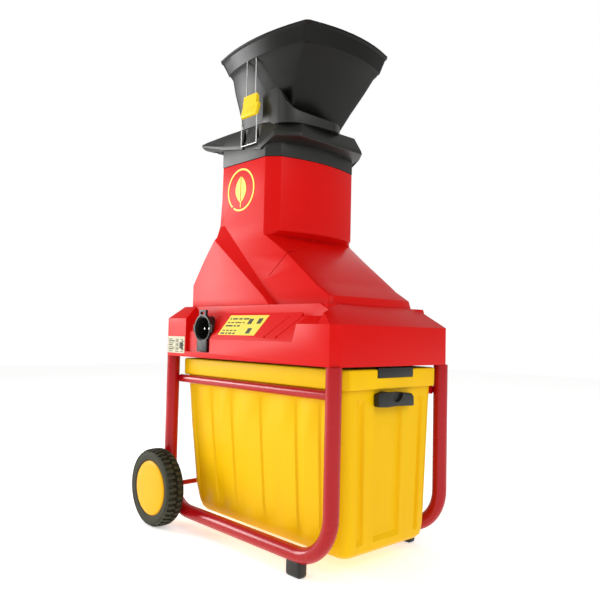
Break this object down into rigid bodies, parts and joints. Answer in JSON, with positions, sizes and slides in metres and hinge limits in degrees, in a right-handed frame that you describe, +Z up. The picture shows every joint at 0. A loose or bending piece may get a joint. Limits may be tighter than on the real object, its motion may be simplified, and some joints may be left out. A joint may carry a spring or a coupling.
{
  "type": "garden shredder",
  "caption": "Upright electric garden shredder: tubular frame on wheels, moulded cover and feed tower, hopper with a latch, and a pull-out collecting bin.",
  "frame": {"origin": "floor level, under the middle of the machine's bounding box", "axes": "+Z up, -Y the front where the bin pulls out, +X the machine's right side"},
  "size_m": [0.484, 0.667, 1.161],
  "materials": {
    "frame_paint": "glossy crimson powder coat",
    "steel": "bright steel",
    "cast_metal": "cast",
    "motor_paint": "black enamel",
    "copper": "wound copper",
    "cover_red": "glossy moulded red",
    "black_plastic": "fine grained black",
    "hopper_black": "semi gloss black",
    "bin_yellow": "glossy moulded yellow",
    "lever_yellow": "glossy yellow",
    "cap_yellow": "satin yellow",
    "tyre_rubber": "matt black",
    "label_yellow": "printed film",
    "label_cream": "printed film",
    "button_green": "green",
    "button_red": "red",
    "chute_plastic": "black"
  },
  "bodies": {
    "chassis": {"side_frame_left": "frame_paint", "side_frame_right": "frame_paint", "rail_left": "frame_paint", "rail_right": "frame_paint", "front_foot_left": "black_plastic", "front_foot_right": "black_plastic", "axle": "frame_paint", "tube_plugs": "black_plastic", "frame_bolts": "steel", "base_plate": "steel", "axle_washers": "steel", "cover_base": "cover_red", "tower": "cover_red", "panel_label": "label_yellow", "rating_label": "label_cream", "badge_ring": "lever_yellow", "inlet_housing": "black_plastic", "inlet_pins": "steel", "collar": "black_plastic", "cutter_housing": "cast_metal", "shaft_bushes": "copper", "motor_housing": "motor_paint", "motor_stator": "copper", "gearbox_housing": "cast_metal", "gearbox_cover": "cast_metal", "feed_chute": "chute_plastic", "switch_box": "black_plastic", "interlock_switch": "black_plastic"},
    "wheel_left": {"tyre_left": "tyre_rubber", "wheel_rim_left": "cap_yellow", "hub_cap_left": "cap_yellow"},
    "wheel_right": {"tyre_right": "tyre_rubber", "wheel_rim_right": "cap_yellow", "hub_cap_right": "cap_yellow"},
    "bin": {"bin_shell": "bin_yellow", "bin_handle": "black_plastic"},
    "lock": {"bin_lock": "black_plastic"},
    "interlock": {"interlock_plunger": "black_plastic"},
    "hopper": {"hopper": "hopper_black", "latch_wires": "steel"},
    "lever": {"latch_lever": "lever_yellow"},
    "bail": {"latch_bail": "steel"},
    "cutter": {"cutter_roller": "steel", "cutter_shaft": "steel", "output_gear": "steel"},
    "idler": {"intermediate_gear": "steel"},
    "rotor": {"motor_rotor": "steel", "motor_pinion": "steel", "cooling_fan": "black_plastic"},
    "adjuster": {"adjusting_screw": "steel", "adjusting_knob": "black_plastic"},
    "jaw": {"pressure_plate": "cast_metal"},
    "start": {"start_button": "button_green"},
    "stop": {"stop_button": "button_red"},
    "selector": {"direction_selector": "black_plastic"}
  },
  "joints": [
    {"name": "wheel_left_spin", "type": "hinge", "parent": "chassis", "child": "wheel_left", "pos_m": [-0.218, 0.2395, 0.094], "axis": [1, 0, 0], "continuous": true},
    {"name": "wheel_right_spin", "type": "hinge", "parent": "chassis", "child": "wheel_right", "pos_m": [0.218, 0.2395, 0.094], "axis": [1, 0, 0], "continuous": true},
    {"name": "bin_slide", "type": "slide", "parent": "chassis", "child": "bin", "axis": [0, -1, 0], "range_m": [0, 0.4]},
    {"name": "bin_lock_slide", "type": "slide", "parent": "bin", "child": "lock", "axis": [0, 0, 1], "range_m": [0, 0.015]},
    {"name": "interlock_press", "type": "slide", "parent": "chassis", "child": "interlock", "axis": [0, 0, 1], "range_m": [0, 0.015]},
    {"name": "hopper_lift", "type": "slide", "parent": "chassis", "child": "hopper", "axis": [0, 0, 1], "range_m": [0, 0.25]},
    {"name": "latch_turn", "type": "hinge", "parent": "hopper", "child": "lever", "pos_m": [-0.147, -0.0035, 1.016], "axis": [0, 1, 0], "range_deg": [0, 100]},
    {"name": "bail_turn", "type": "hinge", "parent": "lever", "child": "bail", "pos_m": [-0.15, -0.0035, 0.994], "axis": [0, 1, 0], "range_deg": [-100, 0]},
    {"name": "cutter_spin", "type": "hinge", "parent": "chassis", "child": "cutter", "pos_m": [0, 0.0075, 0.49], "axis": [1, 0, 0], "continuous": true},
    {"name": "idler_spin", "type": "hinge", "parent": "chassis", "child": "idler", "pos_m": [0.09, -0.05957, 0.52127], "axis": [1, 0, 0], "continuous": true},
    {"name": "rotor_spin", "type": "hinge", "parent": "chassis", "child": "rotor", "pos_m": [0, -0.11934, 0.51604], "axis": [1, 0, 0], "continuous": true},
    {"name": "adjuster_turn", "type": "hinge", "parent": "chassis", "child": "adjuster", "pos_m": [0, 0.2705, 0.478], "axis": [0, 1, 0], "range_deg": [0, 1440]},
    {"name": "jaw_slide", "type": "slide", "parent": "chassis", "child": "jaw", "axis": [0, 1, 0], "range_m": [0, 0.006]},
    {"name": "start_press", "type": "slide", "parent": "chassis", "child": "start", "axis": [0, -1, 0], "range_m": [0, 0.004], "stiffness_N_per_m": 400, "springref_m": -0.002},
    {"name": "stop_press", "type": "slide", "parent": "chassis", "child": "stop", "axis": [0, -1, 0], "range_m": [0, 0.004], "stiffness_N_per_m": 400, "springref_m": -0.002},
    {"name": "selector_turn", "type": "hinge", "parent": "chassis", "child": "selector", "pos_m": [0.022, 0.1425, 0.805], "axis": [0, 1, 0], "range_deg": [-45, 45]}
  ],
  "couplings": [
    {"joint": "idler_spin", "follows": "cutter_spin", "ratio": -4.2857},
    {"joint": "rotor_spin", "follows": "cutter_spin", "ratio": 30},
    {"joint": "bail_turn", "follows": "latch_turn", "ratio": -1},
    {"joint": "jaw_slide", "follows": "adjuster_turn", "m_per_rad": 0.00023873},
    {"joint": "interlock_press", "follows": "bin_lock_slide", "ratio": 1}
  ]
}
